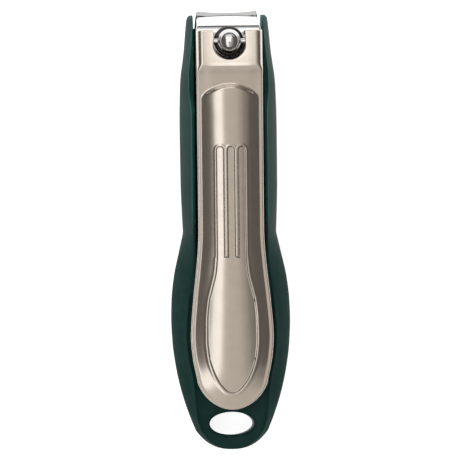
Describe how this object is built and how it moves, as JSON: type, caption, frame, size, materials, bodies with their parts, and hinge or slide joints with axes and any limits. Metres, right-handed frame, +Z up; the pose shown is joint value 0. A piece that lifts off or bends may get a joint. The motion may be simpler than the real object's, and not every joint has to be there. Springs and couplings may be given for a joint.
{
  "type": "nail clipper",
  "caption": "Toenail clipper with a moulded catcher casing, two sprung steel leaves with curved jaws, a ball-headed post, a flip-over pressed lever and a hanging loop.",
  "frame": {"origin": "on the resting surface, below the middle of the object's length and width", "axes": "+Y towards the jaws, +X to the right seen from above with the jaws away from you, +Z up"},
  "size_m": [0.026, 0.0954, 0.0207],
  "materials": {
    "casing_plastic": "fine matte, soft to the touch",
    "cover_plastic": "matte",
    "leaf_chrome": "polished",
    "post_chrome": "mirror polished",
    "fastener_steel": "plain",
    "lever_nickel": "satin nickel"
  },
  "bodies": {
    "casing": {"casing_shell": "casing_plastic", "base_cover": "cover_plastic", "base_screw_left": "fastener_steel", "base_screw_right": "fastener_steel", "stop_pin": "fastener_steel"},
    "clipper": {"lower_leaf": "leaf_chrome", "rear_rivet_left": "fastener_steel", "rear_rivet_right": "fastener_steel"},
    "upper_jaw": {"upper_leaf": "leaf_chrome"},
    "post": {"post": "post_chrome", "foot_washer": "fastener_steel", "post_collar": "post_chrome", "cross_pin": "post_chrome"},
    "lever": {"lever": "lever_nickel"}
  },
  "joints": [
    {"name": "clipper_slide", "type": "slide", "parent": "casing", "child": "clipper", "axis": [0, 1, 0], "range_m": [0, 0.01]},
    {"name": "jaw_close", "type": "hinge", "parent": "clipper", "child": "upper_jaw", "pos_m": [0, -0.009, 0.0074], "axis": [-1, 0, 0], "range_deg": [0, 4], "stiffness_Nm_per_rad": 2},
    {"name": "post_turn", "type": "hinge", "parent": "clipper", "child": "post", "pos_m": [0, 0.041, 0.0181], "axis": [0, 0, 1], "range_deg": [-180, 180]},
    {"name": "lever_swing", "type": "hinge", "parent": "post", "child": "lever", "pos_m": [0, 0.041, 0.0181], "axis": [-1, 0, 0], "range_deg": [0, 168]}
  ]
}
